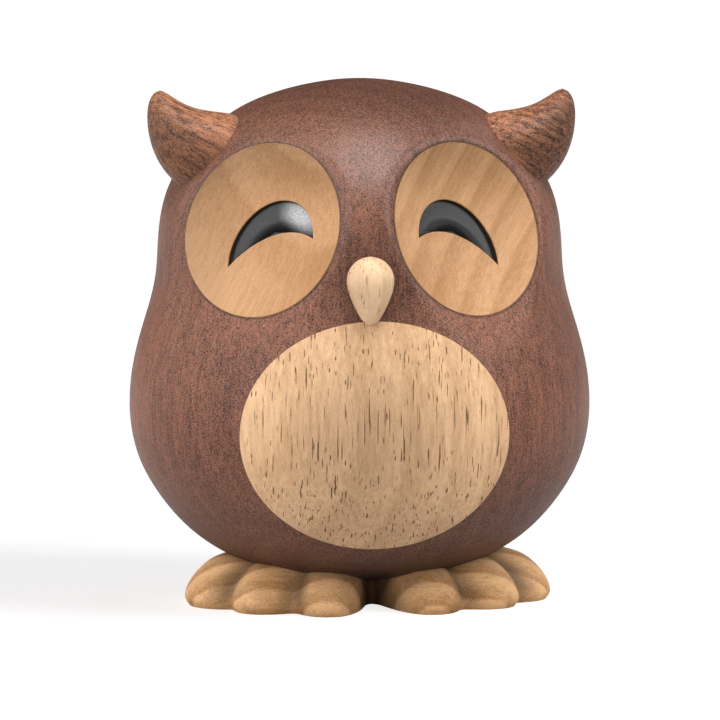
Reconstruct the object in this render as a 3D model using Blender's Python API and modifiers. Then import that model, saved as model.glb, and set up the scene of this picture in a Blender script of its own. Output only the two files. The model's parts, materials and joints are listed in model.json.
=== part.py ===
"""Carved wooden owl figurine.

A turned body of dark wood carries two dished eye discs with metal crescents, an oval belly
inlay, a drop-shaped beak, two horn-shaped ears and one carved pair of feet. The beak, the ears
and the feet are held by wooden dowels.

Frame: the floor is z = 0, the body's axis is the Z axis, and the owl looks along -Y.
"left" is the -X side, which is on the left when the owl is seen from the front.
"""

import math

import bmesh
import bpy
import numpy as np
from mathutils import Matrix, Vector

MM = 0.001

# Body
BODY_TOP = 110.0 * MM
BODY_BOTTOM = 4.5 * MM
BODY_RADIUS = 48.6 * MM
BODY_STEPS = 72
# Half section of the body: share of the widest radius, share of the height from the bottom.
BODY_SECTION = (
    (0.000, 1.0000),
    (0.083, 0.9982),
    (0.175, 0.9930),
    (0.299, 0.9812),
    (0.420, 0.9634),
    (0.520, 0.9424),
    (0.610, 0.9140),
    (0.700, 0.8750),
    (0.778, 0.8300),
    (0.833, 0.7830),
    (0.862, 0.7350),
    (0.874, 0.6850),
    (0.878, 0.6300),
    (0.890, 0.5900),
    (0.913, 0.5480),
    (0.942, 0.5070),
    (0.970, 0.4610),
    (0.991, 0.4140),
    (1.000, 0.3650),
    (0.998, 0.3230),
    (0.984, 0.2790),
    (0.956, 0.2370),
    (0.915, 0.2000),
    (0.856, 0.1580),
    (0.765, 0.1090),
    (0.650, 0.0680),
    (0.520, 0.0380),
    (0.360, 0.0150),
    (0.180, 0.0040),
    (0.000, 0.0000),
)

# Fits
GLUE_FIT = 0.30 * MM
DOWEL_FIT = 0.30 * MM
DOWEL_END_ROOM = 0.5 * MM
CUT_OVERRUN = 6.0 * MM

# Eye discs: a round disc whose face is a shallow bowl that carries on into the body
DISC_RADIUS = 18.45 * MM
DISC_BELOW_TOP = 28.8 * MM
DISC_HALF_BRIDGE = 5.54 * MM
DISC_OFFSET = -0.8 * MM
DISC_SINK = 5.3 * MM
DISC_AXIS_AZIMUTH = math.radians(34.0)
DISC_AXIS_ELEVATION = math.radians(17.6)
DISC_DISH_DEPTH = 2.8 * MM
DISC_CORE = 3.2 * MM
DISC_STEPS = 64
DISC_CLEAR_STRIP = 1.0 * MM
DISH_OVERRUN = 3.5 * MM

# Crescents, set in a seat in each disc
CRESCENT_HALF_CHORD = 10.2 * MM
CRESCENT_OUTER_RISE = 10.55 * MM
CRESCENT_INNER_RISE = 3.8 * MM
CRESCENT_SLANT = 0.18
CRESCENT_TILT = math.radians(20.2)
CRESCENT_TOWARDS_BEAK = 1.7 * MM
CRESCENT_DROP = 4.25 * MM
CRESCENT_THICKNESS = 1.2 * MM
CRESCENT_RECESS = 0.7 * MM
CRESCENT_FIT = 0.30 * MM

# Beak
BEAK_LENGTH = 14.2 * MM
BEAK_RADIUS = 4.93 * MM
BEAK_BELOW_EYES = 4.1 * MM
BEAK_OFFSET = -0.45 * MM
BEAK_STAND_OFF = 1.3 * MM
BEAK_LEAN = math.radians(4.0)
BEAK_STEPS = 40
# Half section of the drop: share of its radius, share of its length from the top.
BEAK_SECTION = (
    (0.000, 0.000),
    (0.360, 0.022),
    (0.640, 0.080),
    (0.850, 0.165),
    (0.965, 0.260),
    (1.000, 0.350),
    (0.965, 0.450),
    (0.875, 0.560),
    (0.745, 0.670),
    (0.595, 0.780),
    (0.440, 0.880),
    (0.270, 0.960),
    (0.000, 1.000),
)
BEAK_DOWEL_RADIUS = 1.5 * MM
BEAK_DOWEL_LENGTH = 14.0 * MM
BEAK_DOWEL_DROP = 5.6 * MM
BEAK_DOWEL_IN_BEAK = 3.6 * MM

# Belly inlay, an oval that is cut straight through from the front
BELLY_HALF_WIDTH = 27.9 * MM
BELLY_TOP_BELOW_BEAK_TOP = 13.3 * MM
BELLY_ABOVE_BODY_BOTTOM = 10.9 * MM
BELLY_OFFSET = 0.7 * MM
BELLY_DEPTH = 16.6 * MM
BELLY_STEPS = 72

# Ears: sections across the horn, each from its upper edge to its outer edge, with its half
# depth. They are measured, in millimetres, from the point of the body's outline at EAR_BELOW_TOP.
EAR_BELOW_TOP = 13.0 * MM
EAR_FORWARD = 7.0 * MM
EAR_SECTIONS = (
    ((-13.3, 0.5), (0.2, -12.5), 10.2),
    ((-8.4, 6.1), (6.4, -7.2), 10.0),
    ((-4.1, 6.6), (8.9, -3.6), 9.2),
    ((-0.1, 7.1), (10.3, -0.1), 8.0),
    ((3.1, 8.2), (11.0, 3.4), 6.5),
    ((5.6, 9.8), (11.1, 7.0), 4.7),
    ((7.3, 10.9), (10.5, 9.5), 2.9),
    ((8.3, 11.2), (9.6, 10.6), 1.3),
)
EAR_STEPS = 28
EAR_DOWEL_RADIUS = 2.0 * MM
EAR_DOWEL_LENGTH = 14.0 * MM
EAR_DOWEL_SLOPE = math.radians(49.0)

# Feet: one carving with six toes
FEET_TURN = math.radians(5.0)
FEET_OFFSET = 0.9 * MM
# Outline of the toes: degrees from the front, distance from the axis in millimetres.
FEET_OUTLINE = (
    (0.0, 12.0),
    (4.0, 12.6),
    (7.5, 14.6),
    (12.0, 23.0),
    (17.0, 28.7),
    (23.0, 30.8),
    (29.0, 30.9),
    (34.0, 29.9),
    (38.0, 28.9),
    (41.0, 29.2),
    (45.5, 32.4),
    (51.0, 35.0),
    (57.0, 35.6),
    (61.5, 34.9),
    (64.5, 34.3),
    (67.0, 36.0),
    (71.0, 38.4),
    (76.0, 39.6),
    (82.0, 39.4),
    (89.0, 38.0),
    (98.0, 35.4),
    (110.0, 31.6),
    (128.0, 26.6),
    (150.0, 23.0),
    (180.0, 21.5),
)
# Side of the toes: height, and how far the outline is drawn in there, both in millimetres.
FEET_SIDE = (
    (0.0, 1.1),
    (1.0, 0.3),
    (2.2, 0.1),
    (4.0, 0.8),
    (5.8, 1.9),
    (7.5, 3.5),
    (9.0, 5.3),
    (9.9, 7.4),
    (10.4, 10.5),
    (10.7, 16.0),
)
FEET_LEAST_RADIUS = 2.0 * MM
FEET_STEPS = 144
FOOT_DOWEL_RADIUS = 2.5 * MM
FOOT_DOWEL_LENGTH = 15.0 * MM
FOOT_DOWEL_ACROSS = 15.0 * MM
FOOT_DOWEL_BOTTOM = 2.0 * MM

DOWEL_STEPS = 24

parts = bpy.data.collections.new("owl_figurine")
cutters = bpy.data.collections.new("cutters")
origin = bpy.data.objects.new("floor_point", None)


def clear_scene():
    """Removes every object of the scene, then links the two collections and the parts' parent."""
    for thing in bpy.context.scene.objects[:]:
        bpy.data.objects.remove(thing, do_unlink=True)
    bpy.context.scene.collection.children.link(parts)
    bpy.context.scene.collection.children.link(cutters)
    cutters.hide_render = True
    parts.objects.link(origin)


def finish(name, colour, roughness, metallic=0.0):
    """Makes one Principled material."""
    material = bpy.data.materials.new(name)
    material.use_nodes = True
    shader = material.node_tree.nodes["Principled BSDF"]
    shader.inputs["Base Color"].default_value = (*colour, 1.0)
    shader.inputs["Roughness"].default_value = roughness
    shader.inputs["Metallic"].default_value = metallic
    material.diffuse_color = (*colour, 1.0)
    return material


def add_object(name, mesh, material=None):
    """Links a mesh as a part, or as a hidden cutter when it has no material."""
    thing = bpy.data.objects.new(name, mesh)
    if material is None:
        cutters.objects.link(thing)
        thing.hide_render = True
        thing.display_type = "WIRE"
    else:
        parts.objects.link(thing)
        mesh.materials.append(material)
        thing.parent = origin
    return thing


def mesh_of(name, shape):
    """Turns a bmesh into a closed mesh whose faces look outward, smooth but for its edges."""
    bmesh.ops.recalc_face_normals(shape, faces=shape.faces)
    mesh = bpy.data.meshes.new(name)
    shape.to_mesh(mesh)
    shape.free()
    mesh.shade_smooth()
    mesh.set_sharp_from_angle(angle=math.radians(40.0))
    return mesh


def add_turned(name, profile, steps, material=None):
    """Turns a half section round the local Z axis. The section runs from top to bottom."""
    mesh = bpy.data.meshes.new(name)
    points = [(radius, 0.0, height) for radius, height in profile]
    edges = [(index, index + 1) for index in range(len(points) - 1)]
    mesh.from_pydata(points, edges, [])
    thing = add_object(name, mesh, material)
    turn = thing.modifiers.new("turn", "SCREW")
    turn.axis = "Z"
    turn.steps = steps
    turn.render_steps = steps
    turn.use_merge_vertices = True
    turn.merge_threshold = 0.00001
    turn.use_smooth_shade = True
    return thing


def add_prism(name, outline, low, high, material=None):
    """Raises a flat outline, given in local X and Y, from low to high along local Z."""
    shape = bmesh.new()
    base = shape.faces.new([shape.verts.new((x, y, low)) for x, y in outline])
    raised = bmesh.ops.extrude_face_region(shape, geom=[base], use_keep_orig=True)
    lifted = [part for part in raised["geom"] if isinstance(part, bmesh.types.BMVert)]
    bmesh.ops.translate(shape, verts=lifted, vec=(0.0, 0.0, high - low))
    return add_object(name, mesh_of(name, shape), material)


def add_round(name, radii, low, high, steps, material=None):
    """Makes a round or oval cylinder from low to high along local Z, with two half widths."""
    shape = bmesh.new()
    bmesh.ops.create_cone(
        shape, cap_ends=True, segments=steps, radius1=1.0, radius2=1.0, depth=high - low
    )
    bmesh.ops.scale(shape, verts=shape.verts, vec=(radii[0], radii[1], 1.0))
    bmesh.ops.translate(shape, verts=shape.verts, vec=(0.0, 0.0, (low + high) / 2.0))
    return add_object(name, mesh_of(name, shape), material)


def add_rod(name, radius, length, place, direction, material=None):
    """Makes a round rod that starts at place and runs along direction."""
    rod = add_round(name, (radius, radius), 0.0, length, DOWEL_STEPS, material)
    rod.location = place
    rod.rotation_mode = "QUATERNION"
    rod.rotation_quaternion = Vector(direction).to_track_quat("Z", "Y")
    return rod


def add_loft(name, rings, material=None):
    """Joins closed rings that have equal numbers of points, and caps both ends."""
    shape = bmesh.new()
    loops = [[shape.verts.new(point) for point in ring] for ring in rings]
    shape.faces.new(loops[0])
    shape.faces.new(loops[-1])
    for ring, above in zip(loops, loops[1:]):
        for index in range(len(ring)):
            before = index - 1
            shape.faces.new((ring[before], ring[index], above[index], above[before]))
    return add_object(name, mesh_of(name, shape), material)


def keep_within(thing, other):
    """Keeps only what the piece shares with the other solid."""
    step = thing.modifiers.new("keep_within", "BOOLEAN")
    step.operation = "INTERSECT"
    step.solver = "EXACT"
    step.object = other


def cut(thing, others):
    """Cuts all the others out of the piece in one step."""
    group = bpy.data.collections.new(f"{thing.name}_cutters")
    cutters.children.link(group)
    for other in others:
        group.objects.link(other)
    step = thing.modifiers.new("cut", "BOOLEAN")
    step.operation = "DIFFERENCE"
    step.solver = "EXACT"
    step.operand_type = "COLLECTION"
    step.collection = group


def body_profile(growth=0.0):
    """Half section of the body from top to bottom, moved outward by growth."""
    height = BODY_TOP - BODY_BOTTOM
    points = [(share * BODY_RADIUS, BODY_BOTTOM + rise * height) for share, rise in BODY_SECTION]
    if growth == 0.0:
        return points
    grown = []
    for index, (radius, level) in enumerate(points):
        before = points[max(index - 1, 0)]
        after = points[min(index + 1, len(points) - 1)]
        along = Vector((after[0] - before[0], after[1] - before[1])).normalized()
        if index == 0:
            grown.append((0.0, level + growth))
        elif index == len(points) - 1:
            grown.append((0.0, level - growth))
        else:
            grown.append((radius - along.y * growth, level + along.x * growth))
    return grown


def body_radius_at(level):
    """Radius of the body at a height."""
    points = body_profile()[::-1]
    return float(np.interp(level, [point[1] for point in points], [point[0] for point in points]))


def dish_height(distance):
    """Height of the dished face over the rim plane, at a distance from the disc's axis."""
    bowl = (DISC_RADIUS**2 + DISC_DISH_DEPTH**2) / (2.0 * DISC_DISH_DEPTH)
    return bowl - DISC_DISH_DEPTH - math.sqrt(bowl**2 - distance**2)


def disc_level():
    """Height of the middle of both eye discs."""
    return BODY_TOP - DISC_BELOW_TOP


def beak_level():
    """Height of the top of the beak."""
    return disc_level() - BEAK_BELOW_EYES


def disc_frame(side):
    """Frame of an eye disc: Z along its axis, Y up its face, origin at the rim plane's centre."""
    axis = Vector(
        (
            side * math.sin(DISC_AXIS_AZIMUTH) * math.cos(DISC_AXIS_ELEVATION),
            -math.cos(DISC_AXIS_AZIMUTH) * math.cos(DISC_AXIS_ELEVATION),
            math.sin(DISC_AXIS_ELEVATION),
        )
    )
    across = Vector((0.0, 0.0, 1.0)).cross(axis).normalized()
    up = axis.cross(across)
    reach = body_radius_at(disc_level()) - DISC_SINK
    aside = DISC_HALF_BRIDGE + DISC_RADIUS * math.hypot(across.x, up.x)
    forward = math.sqrt(reach**2 - aside**2)
    centre = Vector((side * aside + DISC_OFFSET, -forward, disc_level()))
    frame = Matrix((across, up, axis)).transposed().to_4x4()
    frame.translation = centre
    return frame


def dish_profile(inner, outer, count):
    """Points of the dished face from one distance off the axis out to another."""
    reaches = [inner + (outer - inner) * index / (count - 1) for index in range(count)]
    return [(reach, dish_height(reach)) for reach in reaches]


def disc_back(extra=0.0):
    """Height of the disc's flat back below the rim plane."""
    return -(DISC_DISH_DEPTH + DISC_CORE + extra)


def crescent_outline(side, growth=0.0):
    """Outline of a crescent between two arcs, grown on every side."""
    half = CRESCENT_HALF_CHORD
    circles = []
    for rise, change in ((CRESCENT_OUTER_RISE, growth), (CRESCENT_INNER_RISE, -growth)):
        radius = (half**2 + rise**2) / (2.0 * rise)
        circles.append((rise - radius, radius + change))
    (outer_mid, outer_radius), (inner_mid, inner_radius) = circles
    between = outer_mid - inner_mid
    along = (inner_radius**2 - outer_radius**2 + between**2) / (2.0 * between)
    tip_x = math.sqrt(inner_radius**2 - along**2)
    tip_y = inner_mid + along
    points = []
    count = 18
    for middle, radius, turn in ((outer_mid, outer_radius, 1), (inner_mid, inner_radius, -1)):
        start = math.atan2(tip_y - middle, tip_x)
        end = math.pi - start
        for index in range(count):
            share = index / count if turn == 1 else 1.0 - index / count
            angle = start + (end - start) * share
            points.append((radius * math.cos(angle), middle + radius * math.sin(angle)))
    lean = side * -CRESCENT_TILT
    shift_x = -side * CRESCENT_TOWARDS_BEAK
    outline = []
    for x, y in points:
        slanted = x - side * CRESCENT_SLANT * y
        turned_x = slanted * math.cos(lean) - y * math.sin(lean)
        turned_y = slanted * math.sin(lean) + y * math.cos(lean)
        outline.append((turned_x + shift_x, turned_y - CRESCENT_DROP))
    return outline


def crescent_top():
    """Height of the crescent's flat face below the rim plane."""
    return -DISC_DISH_DEPTH - CRESCENT_RECESS


def add_belly_oval(name, growth, material=None):
    """Makes the belly's oval cylinder, which runs from inside the body out along -Y."""
    top = beak_level() - BELLY_TOP_BELOW_BEAK_TOP
    bottom = BODY_BOTTOM + BELLY_ABOVE_BODY_BOTTOM
    radii = (BELLY_HALF_WIDTH + growth, (top - bottom) / 2.0 + growth)
    back = BODY_RADIUS - BELLY_DEPTH - growth
    oval = add_round(name, radii, back, BODY_RADIUS + CUT_OVERRUN, BELLY_STEPS, material)
    oval.location = (BELLY_OFFSET, 0.0, (top + bottom) / 2.0)
    oval.rotation_euler.x = math.radians(90.0)
    return oval


def beak_frame():
    """Frame of the beak's turning axis: origin at the top of the drop, Z towards its tip."""
    forward = body_radius_at(beak_level() - BEAK_LENGTH / 2.0) + BEAK_STAND_OFF
    top = Vector((BEAK_OFFSET, -forward, beak_level()))
    return Matrix.Translation(top) @ Matrix.Rotation(math.pi - BEAK_LEAN, 4, "X")


def beak_dowel_line():
    """End of the beak's dowel inside the beak, and its direction into the body."""
    level = beak_level() - BEAK_DOWEL_DROP
    start = Vector((BEAK_OFFSET, -body_radius_at(level) - BEAK_DOWEL_IN_BEAK, level))
    return start, Vector((0.0, 1.0, 0.0))


def ear_root(side):
    """Point of the body's outline that an ear is measured from."""
    level = BODY_TOP - EAR_BELOW_TOP
    return Vector((side * body_radius_at(level), -EAR_FORWARD, level))


def ear_dowel_line(side):
    """End of an ear's dowel inside the body, and its direction out. Half of it is in the ear."""
    root = ear_root(side)
    across = math.sqrt(root.x**2 - root.y**2)
    middle = Vector((side * across, root.y, root.z))
    out = Vector((side * math.cos(EAR_DOWEL_SLOPE), 0.0, math.sin(EAR_DOWEL_SLOPE)))
    return middle - out * EAR_DOWEL_LENGTH / 2.0, out


def ear_rings(side):
    """Oval sections of a horn, from the root to the tip, about the ear's root point."""
    rings = []
    for upper, outer, half_depth in EAR_SECTIONS:
        high = Vector((side * upper[0], 0.0, upper[1])) * MM
        low = Vector((side * outer[0], 0.0, outer[1])) * MM
        middle = (high + low) / 2.0
        reach = (low - high) / 2.0
        ring = []
        for index in range(EAR_STEPS):
            angle = 2.0 * math.pi * index / EAR_STEPS
            depth = Vector((0.0, half_depth * MM * math.sin(angle), 0.0))
            ring.append(middle + reach * math.cos(angle) + depth)
        rings.append(ring)
    return rings


def smooth_value(table, place):
    """Value of a smooth curve through the points of a table, at one place along it."""
    keys = [row[0] for row in table]
    values = [row[1] for row in table]
    last = len(keys) - 1
    after = min(max(int(np.searchsorted(keys, place)), 1), last)
    before = after - 1
    span = keys[after] - keys[before]
    share = (place - keys[before]) / span
    slopes = []
    for index in (before, after):
        low = max(index - 1, 0)
        high = min(index + 1, last)
        slope = (values[high] - values[low]) / (keys[high] - keys[low])
        slopes.append(0.0 if index in (0, last) else slope * span)
    cube = share**3
    square = share**2
    return (
        values[before] * (2.0 * cube - 3.0 * square + 1.0)
        + slopes[0] * (cube - 2.0 * square + share)
        + values[after] * (3.0 * square - 2.0 * cube)
        + slopes[1] * (cube - square)
    )


def feet_rings():
    """Level outlines of the feet, from the floor up to inside the body."""
    rings = []
    for height, inset in FEET_SIDE:
        ring = []
        for index in range(FEET_STEPS):
            turn = 360.0 * index / FEET_STEPS
            outline = smooth_value(FEET_OUTLINE, min(turn, 360.0 - turn))
            reach = max((outline - inset) * MM, FEET_LEAST_RADIUS)
            angle = math.radians(turn)
            ring.append(Vector((reach * math.sin(angle), -reach * math.cos(angle), height * MM)))
        rings.append(ring)
    return rings


def build_eye(side, word, eye_wood, dark_metal):
    """Builds one disc and its crescent, and returns the cutters for the body and for what is near."""
    place = disc_frame(side)
    back = disc_back()
    face = dish_profile(0.0, DISC_RADIUS, 9)
    disc_line = face + [(DISC_RADIUS, back), (0.0, back)]
    disc = add_turned(f"{word}_eye_disc", disc_line, DISC_STEPS, eye_wood)
    seat = add_prism(
        f"{word}_crescent_seat",
        crescent_outline(side, CRESCENT_FIT),
        crescent_top() - CRESCENT_THICKNESS - CRESCENT_FIT,
        CUT_OVERRUN,
    )
    cut(disc, [seat])
    crescent = add_prism(
        f"{word}_eye_crescent",
        crescent_outline(side),
        crescent_top() - CRESCENT_THICKNESS,
        crescent_top(),
        dark_metal,
    )

    pocket = DISC_RADIUS + GLUE_FIT
    floor = disc_back(GLUE_FIT)
    rim = DISC_RADIUS + DISH_OVERRUN
    lid = dish_height(rim) + CUT_OVERRUN
    wall = dish_profile(pocket, rim, 4)[::-1]
    hollow_line = [(0.0, lid), (rim, lid)] + wall + [(pocket, floor), (0.0, floor)]
    hollow = add_turned(f"{word}_hollow", hollow_line, DISC_STEPS)
    reach = DISC_RADIUS + DISC_CLEAR_STRIP
    clear = add_round(
        f"{word}_clearance",
        (reach, reach),
        disc_back(DISC_CLEAR_STRIP),
        CUT_OVERRUN,
        DISC_STEPS,
    )
    for thing in (disc, seat, crescent, hollow, clear):
        thing.matrix_world = place
    return hollow, clear


def build_dowel(name, radius, length, start, direction, material):
    """Builds one dowel, and returns the cutter of the hole for it."""
    add_rod(f"{name}_dowel", radius, length, start, direction, material)
    return add_rod(
        f"{name}_hole",
        radius + DOWEL_FIT,
        length + 2.0 * DOWEL_END_ROOM,
        start - direction * DOWEL_END_ROOM,
        direction,
    )


def build():
    """Builds every piece."""
    clear_scene()
    dark_wood = finish("dark_wood", (0.105, 0.048, 0.034), 0.50)
    eye_wood = finish("eye_wood", (0.50, 0.31, 0.17), 0.55)
    belly_wood = finish("belly_wood", (0.53, 0.35, 0.19), 0.58)
    beak_wood = finish("beak_wood", (0.60, 0.42, 0.25), 0.55)
    ear_wood = finish("ear_wood", (0.125, 0.052, 0.030), 0.50)
    foot_wood = finish("foot_wood", (0.47, 0.29, 0.15), 0.60)
    dowel_wood = finish("dowel_wood", (0.55, 0.38, 0.22), 0.65)
    dark_metal = finish("dark_metal", (0.045, 0.047, 0.052), 0.42, 1.0)

    body = add_turned("body", body_profile(), BODY_STEPS, dark_wood)
    whole_body = add_turned("whole_body", body_profile(), BODY_STEPS)
    grown_body = add_turned("grown_body", body_profile(GLUE_FIT), BODY_STEPS)

    body_cuts = []
    near_eyes = []
    for side, word in ((-1, "left"), (1, "right")):
        hollow, clear = build_eye(side, word, eye_wood, dark_metal)
        body_cuts.append(hollow)
        near_eyes.append(clear)

    belly = add_belly_oval("belly_inlay", 0.0, belly_wood)
    keep_within(belly, whole_body)
    cut(belly, near_eyes)
    body_cuts.append(add_belly_oval("belly_seat", GLUE_FIT))

    beak_line = [(share * BEAK_RADIUS, down * BEAK_LENGTH) for share, down in BEAK_SECTION][::-1]
    beak = add_turned("beak", beak_line, BEAK_STEPS, beak_wood)
    beak.matrix_world = beak_frame()
    start, inward = beak_dowel_line()
    hole = build_dowel("beak", BEAK_DOWEL_RADIUS, BEAK_DOWEL_LENGTH, start, inward, dowel_wood)
    cut(beak, [grown_body, hole, *near_eyes])
    body_cuts.append(hole)

    for side, word in ((-1, "left"), (1, "right")):
        ear = add_loft(f"{word}_ear", ear_rings(side), ear_wood)
        ear.location = ear_root(side)
        name = f"{word}_ear"
        start, out = ear_dowel_line(side)
        hole = build_dowel(name, EAR_DOWEL_RADIUS, EAR_DOWEL_LENGTH, start, out, dowel_wood)
        cut(ear, [grown_body, hole, *near_eyes])
        body_cuts.append(hole)

    feet = add_loft("feet", feet_rings(), foot_wood)
    feet.location = (FEET_OFFSET, 0.0, 0.0)
    feet.rotation_euler.z = FEET_TURN
    foot_cuts = [grown_body]
    for side, word in ((-1, "left"), (1, "right")):
        name = f"{word}_foot"
        start = Vector((side * FOOT_DOWEL_ACROSS, 0.0, FOOT_DOWEL_BOTTOM))
        up = Vector((0.0, 0.0, 1.0))
        hole = build_dowel(name, FOOT_DOWEL_RADIUS, FOOT_DOWEL_LENGTH, start, up, dowel_wood)
        foot_cuts.append(hole)
        body_cuts.append(hole)
    cut(feet, foot_cuts)
    cut(body, body_cuts)


build()
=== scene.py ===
"""Looks of a carved wooden owl figurine.

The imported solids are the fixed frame. Every piece that shows is made again here as a fine
surface in the same place and at the same size, and is dressed in a procedural finish.
Lengths are in metres, and +Z is up. The owl looks along -Y. "left" is the -X side.
"""

from __future__ import annotations

import json
import logging
import math
from collections.abc import Callable
from dataclasses import dataclass, field
from enum import Enum

import bpy
import numpy as np
from mathutils import Matrix, Vector

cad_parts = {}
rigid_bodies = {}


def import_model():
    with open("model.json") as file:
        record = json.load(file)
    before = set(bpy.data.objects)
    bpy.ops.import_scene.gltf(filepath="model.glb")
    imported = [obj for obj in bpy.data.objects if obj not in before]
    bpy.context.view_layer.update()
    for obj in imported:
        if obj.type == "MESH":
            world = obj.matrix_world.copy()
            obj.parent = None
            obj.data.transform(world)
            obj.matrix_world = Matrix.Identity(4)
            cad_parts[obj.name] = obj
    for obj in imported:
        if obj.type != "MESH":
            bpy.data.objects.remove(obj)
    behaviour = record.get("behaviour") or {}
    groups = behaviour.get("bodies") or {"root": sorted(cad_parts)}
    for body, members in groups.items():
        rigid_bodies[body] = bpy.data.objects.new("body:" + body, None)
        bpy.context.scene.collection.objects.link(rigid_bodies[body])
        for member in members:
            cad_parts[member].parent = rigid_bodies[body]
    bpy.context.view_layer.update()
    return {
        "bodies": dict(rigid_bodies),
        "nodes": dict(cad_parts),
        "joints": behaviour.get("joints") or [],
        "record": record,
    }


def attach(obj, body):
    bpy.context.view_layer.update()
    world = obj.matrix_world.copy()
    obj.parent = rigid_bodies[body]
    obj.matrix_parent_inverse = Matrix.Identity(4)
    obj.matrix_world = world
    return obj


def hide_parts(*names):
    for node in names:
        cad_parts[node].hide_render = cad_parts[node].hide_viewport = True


MM = 0.001
LOG = logging.getLogger("owl")

Array = np.ndarray
Pair = tuple[float, float]
Triple = tuple[float, float, float]
Table = tuple[Pair, ...]
Socket = bpy.types.NodeSocket


class Side(Enum):
    """The two sides of the owl, as seen from the front."""

    LEFT = -1
    RIGHT = 1

    @property
    def word(self) -> str:
        """Name of the side in lower case."""
        return self.name.lower()


# ---------------------------------------------------------------- surfaces


def b_spline(points: Array, places: Array) -> Array:
    """Evaluates a uniform cubic B-spline.

    Each result is the sum of four neighbouring control points, weighted by the cubic B-spline
    basis of the place's fraction. The end points are repeated by reflection, so the curve
    starts and ends on them.

    Args:
        points: control points, one row each.
        places: places along the curve, from 0 at the first row to rows - 1 at the last.

    Returns:
        One row for each place.
    """
    first = 2.0 * points[0] - points[1]
    last = 2.0 * points[-1] - points[-2]
    padded = np.vstack([first, points, last])
    cell = np.clip(np.floor(places).astype(int), 0, len(points) - 2)
    share = (places - cell)[:, None]
    return (
        padded[cell] * (1.0 - share) ** 3
        + padded[cell + 1] * (3.0 * share**3 - 6.0 * share**2 + 4.0)
        + padded[cell + 2] * (-3.0 * share**3 + 3.0 * share**2 + 3.0 * share + 1.0)
        + padded[cell + 3] * share**3
    ) / 6.0


def even_spline(points: Array, count: int) -> Array:
    """Reads a B-spline through control points at evenly spaced places."""
    return b_spline(points, np.linspace(0.0, len(points) - 1.0, count))


def smooth_table(table: Table, places: Array) -> Array:
    """Reads a smooth curve through the points of a table.

    Between two rows the value is the cubic Hermite curve whose slopes are the differences of
    the neighbouring rows, and the slope is zero at both ends.

    Args:
        table: rows of key and value, with rising keys.
        places: keys to read at.

    Returns:
        The value at each place.
    """
    keys = np.array([row[0] for row in table])
    values = np.array([row[1] for row in table])
    slopes = np.zeros(len(keys))
    slopes[1:-1] = (values[2:] - values[:-2]) / (keys[2:] - keys[:-2])
    after = np.clip(np.searchsorted(keys, places), 1, len(keys) - 1)
    before = after - 1
    span = keys[after] - keys[before]
    share = (places - keys[before]) / span
    return (
        values[before] * (2.0 * share**3 - 3.0 * share**2 + 1.0)
        + slopes[before] * span * (share**3 - 2.0 * share**2 + share)
        + values[after] * (3.0 * share**2 - 2.0 * share**3)
        + slopes[after] * span * (share**3 - share**2)
    )


def smooth_step(low: float, high: float, values: Array) -> Array:
    """Rises smoothly from 0 at low to 1 at high: 3t^2 - 2t^3."""
    share = np.clip((values - low) / (high - low), 0.0, 1.0)
    return share * share * (3.0 - 2.0 * share)


def soft_least(one: Array, other: Array, width: float) -> Array:
    """Takes the smaller of two arrays, with the corner between them rounded.

    Where they differ by less than width, a quarter of the squared shortfall over width is
    taken off the smaller one.
    """
    near = np.clip(width - np.abs(one - other), 0.0, None)
    return np.minimum(one, other) - near**2 / (4.0 * width)


def once_round(count: int) -> Array:
    """Gives evenly spaced angles once round a circle."""
    return 2.0 * math.pi * np.arange(count) / count


def quarter_round(radius: float, count: int) -> list[Pair]:
    """Gives a rounded edge: how far each point is in from the side, and down from the face."""
    turns = np.linspace(0.0, math.pi / 2.0, count)
    return [(radius * (1.0 - math.sin(turn)), radius * (1.0 - math.cos(turn))) for turn in turns]


def new_object(name: str, data: bpy.types.ID) -> bpy.types.Object:
    """Makes an object and puts it in the scene."""
    made = bpy.data.objects.new(name, data)
    bpy.context.scene.collection.objects.link(made)
    return made


def grid_piece(name: str, rows: Array) -> bpy.types.Object:
    """Makes a closed piece from rings of points.

    Neighbouring rings are joined by quads, each ring closes on itself, and the first and the
    last ring are each closed by a fan of triangles round their middle.

    Args:
        name: name of the object.
        rows: array of rings, points in a ring, and coordinates.

    Returns:
        The new object, with faces that point outward.
    """
    count, around = rows.shape[:2]
    index = np.arange(count * around).reshape(count, around)
    beside = np.roll(index, -1, axis=1)
    quads = np.stack([index[:-1], beside[:-1], beside[1:], index[1:]], axis=-1)
    points = np.vstack([rows.reshape(-1, 3), rows[0].mean(axis=0), rows[-1].mean(axis=0)])
    first_middle = np.full(around, count * around)
    last_middle = first_middle + 1
    faces = quads.reshape(-1, 4).tolist()
    faces += np.stack([beside[0], index[0], first_middle], axis=-1).tolist()
    faces += np.stack([index[-1], beside[-1], last_middle], axis=-1).tolist()
    mesh = bpy.data.meshes.new(name)
    mesh.from_pydata(points, [], faces)
    mesh.update()
    mesh.calc_loop_triangles()
    triangles = np.zeros(len(mesh.loop_triangles) * 3, dtype=np.int32)
    mesh.loop_triangles.foreach_get("vertices", triangles)
    shape = points[triangles.reshape(-1, 3)]
    volume = np.einsum("ij,ij->i", shape[:, 0], np.cross(shape[:, 1], shape[:, 2])).sum()
    if volume < 0.0:
        mesh.flip_normals()
    mesh.shade_smooth()
    return new_object(name, mesh)


def place_rows(rows: Array, frame: Matrix) -> Array:
    """Moves an array of points from a local frame to the owl's frame."""
    matrix = np.array(frame)
    return rows @ matrix[:3, :3].T + matrix[:3, 3]


def ring_of(points: Array, height: Array | float) -> Array:
    """Adds a local Z, shared or one for each point, to a ring's local X and Y."""
    level = np.broadcast_to(np.asarray(height, dtype=float), len(points))
    return np.stack([points[:, 0], points[:, 1], level], axis=-1)


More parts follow.
